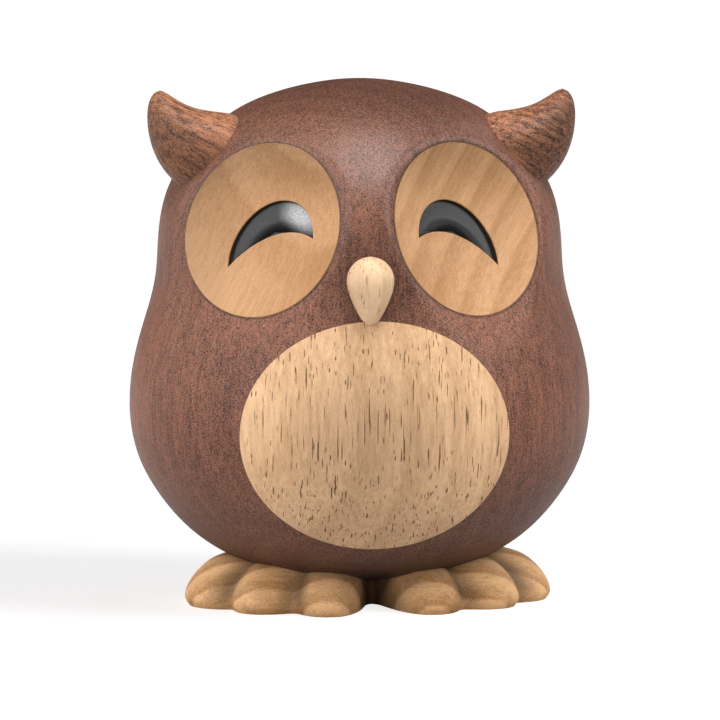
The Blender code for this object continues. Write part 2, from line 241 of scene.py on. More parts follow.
def direction(azimuth: float, elevation: float) -> Vector:
    """Gives the unit vector at an azimuth from the owl's front and an elevation, in radians."""
    level = math.cos(elevation)
    return Vector((math.sin(azimuth) * level, -math.cos(azimuth) * level, math.sin(elevation)))


# ---------------------------------------------------------------- shader terms


@dataclass(frozen=True)
class Noise:
    """Fractal noise: its scale per millimetre, and how its pattern is turned and drawn out."""

    scale: float
    detail: float = 2.0
    rough: float = 0.5
    drawn: Triple = (1.0, 1.0, 1.0)
    turn: Triple = (0.0, 0.0, 0.0)


@dataclass
class Term:
    """One value in a node tree, on which Python's operators add Math nodes."""

    recipe: Recipe
    socket: Socket

    def __add__(self, other: Term | float) -> Term:
        """Adds."""
        return self.recipe.math("ADD", self, other)

    def __radd__(self, other: float) -> Term:
        """Adds to a number."""
        return self.recipe.math("ADD", other, self)

    def __sub__(self, other: Term | float) -> Term:
        """Subtracts."""
        return self.recipe.math("SUBTRACT", self, other)

    def __rsub__(self, other: float) -> Term:
        """Subtracts from a number."""
        return self.recipe.math("SUBTRACT", other, self)

    def __mul__(self, other: Term | float) -> Term:
        """Multiplies."""
        return self.recipe.math("MULTIPLY", self, other)

    def __rmul__(self, other: float) -> Term:
        """Multiplies a number."""
        return self.recipe.math("MULTIPLY", other, self)

    def __truediv__(self, other: Term | float) -> Term:
        """Divides."""
        return self.recipe.math("DIVIDE", self, other)

    def __abs__(self) -> Term:
        """Drops the sign."""
        return self.recipe.math("ABSOLUTE", self)

    def most(self, other: Term) -> Term:
        """Takes the larger of two terms."""
        return self.recipe.math("MAXIMUM", self, other)

    def step(self, low: float, high: float) -> Term:
        """Rises smoothly from 0 at low to 1 at high, or falls if low is above high."""
        start, end = (0.0, 1.0) if low < high else (1.0, 0.0)
        sockets = {
            "Value": self,
            "From Min": min(low, high),
            "From Max": max(low, high),
            "To Min": start,
            "To Max": end,
        }
        node = self.recipe.node("ShaderNodeMapRange", sockets, interpolation_type="SMOOTHSTEP")
        return Term(self.recipe, node.outputs["Result"])


class Recipe:
    """Builds one material's node tree."""

    def __init__(self, name: str) -> None:
        """Starts an empty material."""
        self.material = bpy.data.materials.new(name)
        self.material.use_nodes = True
        self.tree = self.material.node_tree
        self.tree.nodes.clear()

    def node(self, kind: str, sockets: dict | None = None, **settings: object) -> bpy.types.Node:
        """Adds a node.

        Args:
            kind: Blender's type name.
            sockets: values, terms or sockets by input name or number.
            **settings: the node's properties, which are set first.

        Returns:
            The new node.
        """
        made = self.tree.nodes.new(kind)
        for key, value in settings.items():
            setattr(made, key, value)
        for key, value in (sockets or {}).items():
            if isinstance(value, Term):
                self.tree.links.new(value.socket, made.inputs[key])
            elif isinstance(value, Socket):
                self.tree.links.new(value, made.inputs[key])
            else:
                made.inputs[key].default_value = value
        return made

    def math(self, operation: str, *values: Term | float) -> Term:
        """Adds one Math node."""
        node = self.node("ShaderNodeMath", dict(enumerate(values)), operation=operation)
        return Term(self, node.outputs[0])

    def length(self, first: Term, *others: Term) -> Term:
        """Gives the root of the terms' squares added up."""
        total = first * first
        for other in others:
            total = total + other * other
        return self.math("SQRT", total)

    def noise(self, place: Socket, kind: Noise) -> Term:
        """Reads fractal noise at a place."""
        sockets = {
            "Vector": self.mapped(place, kind.turn, scale=kind.drawn),
            "Scale": kind.scale,
            "Detail": kind.detail,
            "Roughness": kind.rough,
        }
        return Term(self, self.node("ShaderNodeTexNoise", sockets).outputs["Fac"])

    def mix(self, share: Term | float, low: object, high: object) -> Socket:
        """Mixes two colours, each a socket or a tuple of red, green and blue."""
        sockets: dict = {0: share}
        for slot, value in ((6, low), (7, high)):
            sockets[slot] = value if isinstance(value, Socket) else (*value, 1.0)
        return self.node("ShaderNodeMix", sockets, data_type="RGBA").outputs[2]

    def place_in_mm(self) -> Socket:
        """Gives the place on the object, in millimetres."""
        sockets = {0: self.node("ShaderNodeTexCoord").outputs["Object"], "Scale": 1.0 / MM}
        return self.node("ShaderNodeVectorMath", sockets, operation="SCALE").outputs[0]

    def parts(self, place: Socket) -> tuple[Term, Term, Term]:
        """Gives the X, Y and Z of a place."""
        node = self.node("ShaderNodeSeparateXYZ", {0: place})
        return tuple(Term(self, output) for output in node.outputs)

    def axes(self) -> tuple[Term, Term, Term]:
        """Gives the X, Y and Z of the place on the object, in millimetres."""
        return self.parts(self.place_in_mm())

    def mapped(self, place: Socket, turn: tuple = (0.0, 0.0, 0.0),
               shift: tuple = (0.0, 0.0, 0.0), scale: tuple = (1.0, 1.0, 1.0)) -> Socket:
        """Scales, turns and moves a place."""
        sockets = {"Vector": place, "Location": shift, "Rotation": turn, "Scale": scale}
        return self.node("ShaderNodeMapping", sockets, vector_type="POINT").outputs["Vector"]

    def bump(self, depth: float, height: Term) -> Socket:
        """Gives the normal of a surface with this relief, whose depth is in metres."""
        sockets = {"Strength": 1.0, "Distance": depth, "Height": height}
        return self.node("ShaderNodeBump", sockets).outputs["Normal"]

    def close(self, surface: dict) -> bpy.types.Material:
        """Ends the recipe with a Principled shader and returns the material."""
        shader = self.node("ShaderNodeBsdfPrincipled", surface)
        self.node("ShaderNodeOutputMaterial", {"Surface": shader.outputs[0]})
        return self.material


@dataclass(frozen=True)
class Wood:
    """One kind of wood, with growth rings round a pith line, fibres and pores.

    Lengths are in millimetres. A share is a part's weight in the tone, which runs from dark to
    light. shade gives the painted shade, how far each place on the object is darkened where less
    light falls on it, and polish gives how glossy each place is.
    """

    name: str
    dark: Triple
    light: Triple
    pore: Triple
    grain: Triple = (0.0, 0.0, 0.0)
    pith: Triple = (60.0, 90.0, 0.0)
    ring_gap: float = 4.0
    ring_share: float = 0.35
    ring_wobble: float = 3.0
    fibre_share: float = 0.5
    fine_share: float = 0.45
    fibre_mean: float = 0.72
    patch_share: float = 0.35
    speck_share: float = 0.0
    # painted_glint_share scales the painted highlights: small light spots in the colour that stand
    # for glints.
    painted_glint_share: float = 0.22
    pore_gap: Pair = (0.9, 7.0)
    pore_size: float = 0.24
    pore_rate: float = 0.5
    pore_depth: float = 0.6
    vessel_rate: float = 0.0
    vessel_limit: float = 0.73
    roughness: float = 0.5
    relief: float = 0.05
    sheen: float = 0.2
    # painted_shade_colour is the colour that the painted shade from shade mixes towards.
    painted_shade_colour: Triple = (0.004, 0.002, 0.001)
    shade: Callable[[Recipe], Term] | None = None
    polish: Callable[[Recipe], Term] | None = None
    wobble_noise: Noise = Noise(0.035, 3.0, drawn=(1.0, 1.0, 0.35))
    fibre_noise: Noise = Noise(1.1, 5.0, 0.65, drawn=(1.0, 1.0, 0.06))
    fine_noise: Noise = Noise(2.4, 2.0, 0.6, drawn=(1.0, 1.0, 0.16))
    patch_noise: Noise = Noise(0.03)
    speck_noise: Noise = Noise(3.8, 1.0)
    painted_glint_noise: Noise = Noise(5.2, 0.0)
    line_noise: Noise = Noise(1.0, 1.0, drawn=(2.9, 0.8, 0.12))
    band_noise: Noise = Noise(1.0, 1.0, drawn=(0.16, 0.1, 0.03))

    def rings(self, recipe: Recipe, place: Socket) -> Term:
        """Gives the growth rings: the fraction of the distance from the pith over the ring gap."""
        across, deep, _ = recipe.parts(place)
        wobble = recipe.noise(place, self.wobble_noise) * self.ring_wobble
        phase = recipe.math("FRACT", (recipe.length(across, deep) + wobble) / self.ring_gap)
        return phase.step(0.0, 0.75) * phase.step(1.0, 0.86)

    def pores(self, recipe: Recipe, place: Socket, ring: Term) -> Term:
        """Gives the pores: the cores of some of the cells, which are drawn out along the grain.

        Where the wood has vessels, longer dark lines join them, in loose bands.
        """
        wide, long = self.pore_gap
        cell = recipe.mapped(place, scale=(1.0 / wide, 1.0 / wide, 1.0 / long))
        cells = recipe.node("ShaderNodeTexVoronoi", {"Vector": cell, "Scale": 1.0}, feature="F1")
        core = Term(recipe, cells.outputs["Distance"]).step(self.pore_size, self.pore_size * 0.5)
        draw = recipe.node("ShaderNodeSeparateColor", {0: cells.outputs["Color"]})
        chosen = Term(recipe, draw.outputs[0]).step(self.pore_rate, self.pore_rate - 0.08)
        pore = core * chosen * (0.5 + 0.5 * ring)
        if self.vessel_rate > 0.0:
            limit = self.vessel_limit - self.vessel_rate * recipe.noise(place, self.band_noise)
            pore = pore.most((recipe.noise(place, self.line_noise) - limit).step(0.0, 0.05))
        return pore

    def material(self) -> bpy.types.Material:
        """Builds the material.

        The place is turned so that its Z runs along the grain. The tone is the sum of rings,
        fibres, fine fibres, specks and patches, less its own mean, around a half. Pores and
        vessels darken it, painted glints lighten it in small spots as painted highlights, and the
        painted shade mixes it towards painted_shade_colour.

        Returns:
            The finished material.
        """
        recipe = Recipe(self.name)
        place = recipe.mapped(recipe.place_in_mm(), self.grain, self.pith)
        ring = self.rings(recipe, place)
        fibre = recipe.noise(place, self.fibre_noise)
        fine = recipe.noise(place, self.fine_noise)
        level_shares = self.ring_share + self.patch_share + self.speck_share
        tone = (
            ring * self.ring_share
            + fibre * self.fibre_share
            + fine * (self.fine_share * self.fibre_share)
            + recipe.noise(place, self.speck_noise) * self.speck_share
            + recipe.noise(place, self.patch_noise) * self.patch_share
            + (0.5 - 0.5 * level_shares - self.fibre_mean * self.fibre_share)
        )
        pore = self.pores(recipe, place, ring)
        # Painted highlights: small light spots mixed into the colour, standing for glints of light
        # off the pores.
        painted_glint = recipe.noise(place, self.painted_glint_noise).step(0.60, 0.76)
        painted_glint_colour = tuple(min(1.0, part * 2.0) for part in self.light)
        colour = recipe.mix(tone.step(0.15, 0.85), self.dark, self.light)
        colour = recipe.mix(pore * self.pore_depth, colour, self.pore)
        colour = recipe.mix(painted_glint * (self.speck_share * self.painted_glint_share), colour, painted_glint_colour)
        # Painted shade: the colour is darkened where less light falls, in place of real shade.
        if self.shade is not None:
            colour = recipe.mix(self.shade(recipe), colour, self.painted_shade_colour)
        return recipe.close(
            {
                "Base Color": colour,
                "Roughness": self.roughness + (fine - 0.5) * 0.18 + pore * 0.2,
                "Normal": recipe.bump(self.relief * MM, fine * 0.25 + fibre * 0.35 - pore),
                "Coat Weight": self.polish(recipe) if self.polish is not None else 0.0,
                "Coat Roughness": 0.35,
                "Specular IOR Level": self.sheen,
            }
        )


@dataclass(frozen=True)
class DarkMetal:
    """Dark grey metal with a rough, streaked satin face, and a painted highlight in one place."""

    name: str = "crescent_metal"
    dark: Triple = (0.008, 0.0082, 0.0085)
    light: Triple = (0.026, 0.0262, 0.0265)
    # A painted highlight: a bright patch in the colour on the left crescent, towards the beak,
    # standing for a reflection.
    painted_highlight: Triple = (0.50, 0.50, 0.50)
    painted_highlight_place: Pair = (-13.0, 84.5)
    painted_highlight_reach: Pair = (4.6, 1.0)
    painted_highlight_squeeze: float = 0.6
    roughness: float = 0.42
    metallic: float = 0.25
    relief: float = 0.03
    coarse_noise: Noise = Noise(2.6, 3.0, 0.7)
    streak_noise: Noise = Noise(2.2, 4.0, 0.7, drawn=(0.5, 0.5, 3.0), turn=(0.0, 0.0, 0.3))

    def material(self) -> bpy.types.Material:
        """Builds the material from two noises, one coarse and one drawn out sideways."""
        recipe = Recipe(self.name)
        place = recipe.place_in_mm()
        coarse = recipe.noise(place, self.coarse_noise)
        streak = recipe.noise(place, self.streak_noise)
        tone = (coarse * 0.5 + streak * 0.5).step(0.3, 0.7)
        across, _, height = recipe.parts(place)
        # Painted highlight: the colour is lightened round one place, standing for a reflection.
        aside = across - self.painted_highlight_place[0]
        rise = height - self.painted_highlight_place[1]
        reach = recipe.math("SQRT", aside * aside * self.painted_highlight_squeeze + rise * rise)
        colour = recipe.mix(tone, self.dark, self.light)
        colour = recipe.mix(reach.step(*self.painted_highlight_reach) * (0.4 + 0.6 * tone), colour, self.painted_highlight)
        return recipe.close(
            {
                "Base Color": colour,
                "Metallic": self.metallic,
                "Roughness": self.roughness + (streak - 0.5) * 0.25,
                "Normal": recipe.bump(self.relief * MM, streak + coarse),
            }
        )


# ---------------------------------------------------------------- sub-assemblies


@dataclass(frozen=True)
class EyePlace:
    """Where an eye disc sits, and the bowl that its face is part of."""

    radius: float = 18.45 * MM
    height: float = 81.2 * MM
    place_azimuth: float = math.radians(35.2)
    place_reach: float = 36.7 * MM
    offset: float = -0.8 * MM
    axis_azimuth: float = math.radians(34.0)
    axis_elevation: float = math.radians(17.6)
    dish_depth: float = 2.8 * MM
    core: float = 3.2 * MM

    def frame(self, side: Side) -> Matrix:
        """Gives the disc's frame: Z along its axis, Y up its face, origin in its rim plane."""
        sign = side.value
        centre = Vector(
            (
                sign * self.place_reach * math.sin(self.place_azimuth) + self.offset,
                -self.place_reach * math.cos(self.place_azimuth),
                self.height,
            )
        )
        axis = direction(sign * self.axis_azimuth, self.axis_elevation)
        across = Vector((0.0, 0.0, 1.0)).cross(axis).normalized()
        frame = Matrix((across, axis.cross(across), axis)).transposed().to_4x4()
        frame.translation = centre
        return frame

    def dish(self, distance: Array) -> Array:
        """Gives the bowl's height over the rim plane: a sphere's cap through the rim circle."""
        bowl = (self.radius**2 + self.dish_depth**2) / (2.0 * self.dish_depth)
        near = np.clip(distance, 0.0, 0.8 * bowl)
        return bowl - self.dish_depth - np.sqrt(bowl**2 - near**2)


@dataclass(frozen=True)
class BellyPlace:
    """The oval of the belly inlay, as seen from the front."""

    half_width: float = 27.9 * MM
    half_height: float = 24.2 * MM
    centre: float = 39.6 * MM
    offset: float = 0.7 * MM


@dataclass
class Body:
    """The turned body, with a hollow round each eye and shallow seats under the inlays.

    Rings are spaced by a weight that rises from plain_rings to one more at face_level.
    """

    eyes: EyePlace
    belly: BellyPlace
    radius: float = 48.6 * MM
    top: float = 110.0 * MM
    bottom: float = 4.5 * MM
    around: int = 400
    along: int = 238
    crowd: float = 0.5
    face_level: float = 84.0 * MM
    face_spread: float = 24.0 * MM
    plain_rings: float = 0.75
    edge_round: float = 1.3 * MM
    bowl_reach: Pair = (6.0 * MM, 9.0 * MM)
    eye_front: float = -20.0 * MM
    seat_depth: float = 1.2 * MM
    eye_seat_edge: Pair = (-1.3 * MM, -2.0 * MM)
    belly_seat_edge: Pair = (0.955, 0.93)
    dense_points: int = 1500
    section: Table = (
        (0.000, 1.0000), (0.083, 0.9982), (0.175, 0.9930), (0.299, 0.9812), (0.420, 0.9634),
        (0.520, 0.9424), (0.610, 0.9140), (0.700, 0.8750), (0.778, 0.8300), (0.833, 0.7830),
        (0.862, 0.7350), (0.874, 0.6850), (0.878, 0.6300), (0.890, 0.5900), (0.913, 0.5480),
        (0.942, 0.5070), (0.970, 0.4610), (0.991, 0.4140), (1.000, 0.3650), (0.998, 0.3230),
        (0.984, 0.2790), (0.956, 0.2370), (0.915, 0.2000), (0.856, 0.1580), (0.765, 0.1090),
        (0.650, 0.0680), (0.520, 0.0380), (0.360, 0.0150), (0.180, 0.0040), (0.000, 0.0000),
    )

    def profile(self) -> Array:
        """Gives a dense half section, from the top to the bottom, as radius and height."""
        points = np.array(self.section)
        points[:, 0] *= self.radius
        points[:, 1] = self.bottom + points[:, 1] * (self.top - self.bottom)
        dense = even_spline(points, self.dense_points)
        dense[0, 0] = dense[-1, 0] = 0.0
        return dense

    def radius_at(self, height: Array) -> Array:
        """Gives the body's radius at each height."""
        dense = self.profile()[::-1]
        return np.interp(height, dense[:, 1], dense[:, 0])

    def rows(self) -> Array:
        """Gives the turned surface, with rings crowded round the eyes and columns in front."""
        dense = self.profile()
        steps = np.linalg.norm(np.diff(dense, axis=0), axis=1)
        middle = (dense[1:, 1] + dense[:-1, 1]) / 2.0
        weight = self.plain_rings + np.exp(-(((middle - self.face_level) / self.face_spread) ** 2))
        travel = np.concatenate([[0.0], np.cumsum(steps * weight)])
        places = np.linspace(0.0, travel[-1], self.along + 2)[1:-1]
        radius = np.interp(places, travel, dense[:, 0])
        height = np.interp(places, travel, dense[:, 1])
        share = np.arange(self.around) / self.around
        angle = 2.0 * math.pi * share - self.crowd * np.sin(2.0 * math.pi * share)
        return np.stack(
            [
                radius[:, None] * np.sin(angle)[None, :],
                -radius[:, None] * np.cos(angle)[None, :],
                np.broadcast_to(height[:, None], (len(height), len(angle))),
            ],
            axis=-1,
        )

    def hollow(self, rows: Array, side: Side) -> Array:
        """Pushes the surface along the disc's axis down to the bowl, with a rounded edge.

        The bowl is felt up to bowl_reach past the disc, and eye_front keeps it off the back.
        Under the disc the surface goes further, by the depth of the seat.
        """
        frame = self.eyes.frame(side)
        local = place_rows(rows, frame.inverted())
        distance = np.hypot(local[..., 0], local[..., 1])
        past = distance - self.eyes.radius
        full, end = self.bowl_reach
        reach = smooth_step(end, full, past)
        lowered = soft_least(local[..., 2], self.eyes.dish(distance), self.edge_round)
        seat = self.seat_depth * smooth_step(*self.eye_seat_edge, past)
        front = local[..., 2] > self.eye_front
        change = np.where(front, (lowered - seat - local[..., 2]) * reach, 0.0)
        local[..., 2] += change
        return place_rows(local, frame)

    def build(self) -> bpy.types.Object:
        """Builds the body."""
        rows = self.rows()
        for side in Side:
            rows = self.hollow(rows, side)
        oval = np.hypot(
            (rows[..., 0] - self.belly.offset) / self.belly.half_width,
            (rows[..., 2] - self.belly.centre) / self.belly.half_height,
        )
        under = smooth_step(*self.belly_seat_edge, oval) * (rows[..., 1] < 0.0)
        length = np.hypot(rows[..., 0], rows[..., 1])
        shrink = 1.0 - under * self.seat_depth / length
        rows[..., 0] *= shrink
        rows[..., 1] *= shrink
        return grid_piece("body_shell", rows)


@dataclass
class Crescent:
    """The arched outline of an eye's metal piece, in the plane of its disc."""

    side: Side
    half_chord: float = 10.2 * MM
    outer_rise: float = 10.55 * MM
    inner_rise: float = 3.8 * MM
    slant: float = 0.18
    tilt: float = math.radians(20.2)
    towards_beak: float = 1.7 * MM
    drop: float = 4.25 * MM

    def circles(self, growth: float) -> tuple[float, float, float, float]:
        """Gives the middle and the radius of the outer and the inner arc."""
        half = self.half_chord
        outer = (half**2 + self.outer_rise**2) / (2.0 * self.outer_rise)
        inner = (half**2 + self.inner_rise**2) / (2.0 * self.inner_rise)
        return self.outer_rise - outer, outer + growth, self.inner_rise - inner, inner - growth

    def arcs(self, share: Array, growth: float) -> tuple[Array, Array]:
        """Gives points of the outer and the inner arc, from the right tip to the left tip.

        The tips are where the two grown circles cross.
        """
        outer_mid, outer, inner_mid, inner = self.circles(growth)
        between = outer_mid - inner_mid
        along = (inner**2 - outer**2 + between**2) / (2.0 * between)
        tip = math.sqrt(inner**2 - along**2)
        level = inner_mid + along
        curves = []
        for middle, radius in ((outer_mid, outer), (inner_mid, inner)):
            start = math.atan2(level - middle, tip)
            angle = start + (math.pi - 2.0 * start) * share
            curves.append(
                np.stack([radius * np.cos(angle), middle + radius * np.sin(angle)], axis=-1)
            )
        return curves[0], curves[1]

    def to_disc(self, points: Array) -> Array:
        """Slants, turns and moves points from the crescent's own axes to the disc's."""
        lean = -self.side.value * self.tilt
        slanted = points[..., 0] - self.side.value * self.slant * points[..., 1]
        across = slanted * math.cos(lean) - points[..., 1] * math.sin(lean)
        up = slanted * math.sin(lean) + points[..., 1] * math.cos(lean)
        return np.stack([across - self.side.value * self.towards_beak, up - self.drop], axis=-1)


@dataclass
class Eye:
    """One eye: the dished disc with a seat for the crescent, and the crescent."""

    side: Side
    place: EyePlace
    proud: float = 0.03 * MM
    rim_round: float = 0.22 * MM
    arris: float = 0.16 * MM
    seat_fit: float = 0.05 * MM
    recess: float = 0.75 * MM
    floor_inset: float = 0.9 * MM
    plate: float = 1.2 * MM
    plate_lift: float = 0.02 * MM
    plate_bevel: float = 0.12 * MM
    plate_spine: float = 1.6 * MM
    plate_follow: float = 0.5
    half_around: int = 150
    face_rings: int = 45
    tip_angles: Pair = (math.radians(-28.0), math.radians(208.0))

    def shares(self) -> Array:
        """Gives places along an arc, crowded towards both tips."""
        return 0.5 - 0.5 * np.cos(math.pi * np.arange(self.half_around) / self.half_around)

    def outline(self, crescent: Crescent, growth: float) -> Array:
        """Gives the closed outline: along the outer arc and back along the inner arc."""
        share = self.shares()
        outer, _ = crescent.arcs(share, growth)
        _, inner = crescent.arcs(1.0 - share, growth)
        return crescent.to_disc(np.vstack([outer, inner]))

    def rim(self, crescent: Crescent, radius: float) -> Array:
        """Gives the disc's edge circle, point for point with the crescent's outline."""
        share = self.shares()
        low, high = self.tip_angles
        upper = low + (high - low) * share
        lower = high + (low + 2.0 * math.pi - high) * share
        angle = np.concatenate([upper, lower]) - self.side.value * crescent.tilt
        return np.stack([radius * np.cos(angle), radius * np.sin(angle)], axis=-1)

    def bowl(self, points: Array) -> Array:
        """Gives the bowl's height at points on the disc."""
        return self.place.dish(np.hypot(points[:, 0], points[:, 1]))

    def floor_level(self) -> float:
        """Gives the depth of the crescent's flat seat."""
        return -self.place.dish_depth - self.recess - self.plate

    def disc_rows(self, crescent: Crescent) -> Array:
        """Gives the rings of the disc, from the seat's floor over the face to the back."""
        floor = self.floor_level()
        rings = [
            ring_of(self.outline(crescent, -self.floor_inset), floor),
            ring_of(self.outline(crescent, self.seat_fit), floor),
        ]
        for sunk, out in quarter_round(self.arris, 5):
            edge = self.outline(crescent, self.seat_fit + out)
            rings.append(ring_of(edge, self.bowl(edge) + self.proud - sunk))
        inner = self.outline(crescent, self.seat_fit + self.arris)
        outer = self.rim(crescent, self.place.radius - self.rim_round)
        for share in np.linspace(0.0, 1.0, self.face_rings + 1)[1:]:
            points = inner * (1.0 - share) + outer * share
            rings.append(ring_of(points, self.bowl(points) + self.proud))
        top = float(self.place.dish(np.array([self.place.radius]))[0]) + self.proud
        for inset, sunk in quarter_round(self.rim_round, 6)[1:]:
            edge = self.rim(crescent, self.place.radius - inset)
            rings.append(ring_of(edge, top - sunk))
        back = -self.place.dish_depth - self.place.core
        for level in np.linspace(top - self.rim_round, back, 5)[1:]:
            rings.append(ring_of(edge, level))
        for share in (0.7, 0.35):
            rings.append(ring_of(edge * share, back))
        return np.stack(rings)

    def plate_top(self, points: Array) -> Array:
        """Gives the level of the crescent's face, which is dished less than the disc is."""
        dished = self.bowl(points) + self.place.dish_depth
        return self.floor_level() + self.plate_lift + self.plate + self.plate_follow * dished

    def plate_rows(self, crescent: Crescent) -> Array:
        """Gives the rings of the crescent: its back, its side and its slightly dished face."""
        bottom = self.floor_level() + self.plate_lift
        bevel = self.plate_bevel
        edge = self.outline(crescent, 0.0)
        rings = [
            ring_of(self.outline(crescent, -self.plate_spine), bottom),
            ring_of(edge, bottom),
            ring_of(edge, self.plate_top(edge) - bevel),
        ]
        for inset, sunk in ((bevel / 3.0, bevel / 3.0), (bevel, 0.0), (0.5 * MM, 0.0), (MM, 0.0)):
            ring = self.outline(crescent, -inset)
            rings.append(ring_of(ring, self.plate_top(ring) - sunk))
        opposite = np.roll(ring[::-1], 1, axis=0)
        for share in (0.25, 0.5, 0.75, 0.97):
            points = ring * (1.0 - share / 2.0) + opposite * share / 2.0
            rings.append(ring_of(points, self.plate_top(points)))
        return np.stack(rings)

    def build(self) -> tuple[bpy.types.Object, bpy.types.Object]:
        """Builds the disc and the crescent."""
        crescent = Crescent(self.side)
        frame = self.place.frame(self.side)
        word = self.side.word
        disc = grid_piece(f"{word}_disc_face", place_rows(self.disc_rows(crescent), frame))
        plate = grid_piece(f"{word}_crescent_face", place_rows(self.plate_rows(crescent), frame))
        return disc, plate


@dataclass
class BellyInlay:
    """The oval inlay, flush with the body."""

    body: Body
    place: BellyPlace
    proud: float = 0.03 * MM
    edge_round: float = 0.18 * MM
    thickness: float = 3.0 * MM
    around: int = 360
    face_rings: int = 56
    middle_share: float = 0.02
    last_share: float = 0.985

    def ring(self, share: float, inset: float, sink: float) -> Array:
        """Gives one oval ring on the body's surface.

        Args:
            share: size of the oval as a share of the whole.
            inset: how far the ring is moved in from the edge.
            sink: how far it lies under the face.

        Returns:
            Points of the ring.
        """
        angle = once_round(self.around)
        across = self.place.offset + (self.place.half_width * share - inset) * np.cos(angle)
        height = self.place.centre + (self.place.half_height * share - inset) * np.sin(angle)
        radius = self.body.radius_at(height) + self.proud - sink
        forward = np.sqrt(np.clip(radius**2 - across**2, 0.0, None))
        return np.stack([across, -forward, height], axis=-1)

    def build(self) -> bpy.types.Object:
        """Builds the inlay from its middle over the rounded edge to the back."""
        shares = np.linspace(self.middle_share, self.last_share, self.face_rings)
        rings = [self.ring(share, 0.0, 0.0) for share in shares]
        rings += [self.ring(1.0, inset, sunk) for inset, sunk in quarter_round(self.edge_round, 6)]
        rings += [self.ring(share, 0.0, self.thickness) for share in (1.0, 0.5)]
        return grid_piece("belly_face", np.stack(rings))


@dataclass
class Beak:
    """The turned drop, tip down."""

    length: float = 14.2 * MM
    radius: float = 4.93 * MM
    top: float = 77.1 * MM
    forward: float = 43.9 * MM
    offset: float = -0.45 * MM
    lean: float = math.radians(4.0)
    around: int = 120
    along: int = 90
    section: Table = (
        (0.000, 0.000), (0.360, 0.022), (0.640, 0.080), (0.850, 0.165), (0.965, 0.260),
        (1.000, 0.350), (0.965, 0.450), (0.875, 0.560), (0.745, 0.670), (0.595, 0.780),
        (0.440, 0.880), (0.270, 0.960), (0.000, 1.000),
    )

    def build(self) -> bpy.types.Object:
        """Builds the drop: its half section is carried round the leaning axis."""
        points = np.array(self.section) * np.array([self.radius, self.length])
        dense = even_spline(points, self.along + 2)[1:-1]
        angle = once_round(self.around)
        rows = np.stack(
            [
                dense[:, :1] * np.cos(angle)[None, :],
                dense[:, :1] * np.sin(angle)[None, :],
                np.broadcast_to(-dense[:, 1:], (len(dense), self.around)),
            ],
            axis=-1,
        )
        place = Matrix.Translation((self.offset, -self.forward, self.top))
        leaning = place @ Matrix.Rotation(-self.lean, 4, "X")
        return grid_piece("beak_drop", place_rows(rows, leaning))


@dataclass
class Ear:
    """A horn of oval sections, each from its upper edge to its outer edge."""

    side: Side
    body: Body
    forward: float = 7.0 * MM
    root_depth: float = 0.6 * MM
    around: int = 160
    along: int = 120
    tries: int = 500
    last_root: float = 0.6
    sections: tuple = (
        ((20.5, 97.5), (34.0, 84.5), 10.2),
        ((25.4, 103.1), (40.2, 89.8), 10.0),
        ((29.7, 103.6), (42.7, 93.4), 9.2),
        ((33.7, 104.1), (44.1, 96.9), 8.0),
        ((36.9, 105.2), (44.8, 100.4), 6.5),
        ((39.4, 106.8), (44.9, 104.0), 4.7),
        ((41.1, 107.9), (44.3, 106.5), 2.9),
        ((42.1, 108.2), (43.4, 107.6), 1.3),
    )

    def surface(self, places: Array) -> Array:
        """Gives points of the horn.

        A spline through the sections gives each oval's upper edge, outer edge and half depth.

        Args:
            places: places along the horn, from 0 at the root to 1 at the tip, with one column
                for each angle.

        Returns:
            Points in the owl's frame, in rows and columns like the places.
        """
        table = np.array([[*upper, *outer, depth] for upper, outer, depth in self.sections]) * MM
        dense = b_spline(table, places.ravel() * (len(table) - 1.0)).reshape(*places.shape, 5)
        angle = once_round(self.around)
        high, low = dense[..., 0:2], dense[..., 2:4]
        plane = (high + low) / 2.0 + (low - high) / 2.0 * np.cos(angle)[None, :, None]
        depth = -self.forward + dense[..., 4] * np.sin(angle)[None, :]
        return np.stack([self.side.value * plane[..., 0], depth, plane[..., 1]], axis=-1)

    def build(self) -> bpy.types.Object:
        """Builds the horn from just under the body's surface to the tip.

        In each column, the first place kept is where the horn comes within the root's depth of
        the body's surface. The tip, past last_root, is always kept.
        """
        tries = np.linspace(0.0, 1.0, self.tries)
        rows = self.surface(np.repeat(tries[:, None], self.around, axis=1))
        buried = self.body.radius_at(rows[..., 2]) - np.hypot(rows[..., 0], rows[..., 1])
        inside = (buried > self.root_depth) & (tries[:, None] < self.last_root)
        last = np.where(inside.any(axis=0), self.tries - 1 - inside[::-1].argmax(axis=0), 0)
        start = tries[last]
        share = np.linspace(0.0, 1.0, self.along)[:, None]
        horn = self.surface(start[None, :] * (1.0 - share) + share)
        return grid_piece(f"{self.side.word}_ear_horn", horn)


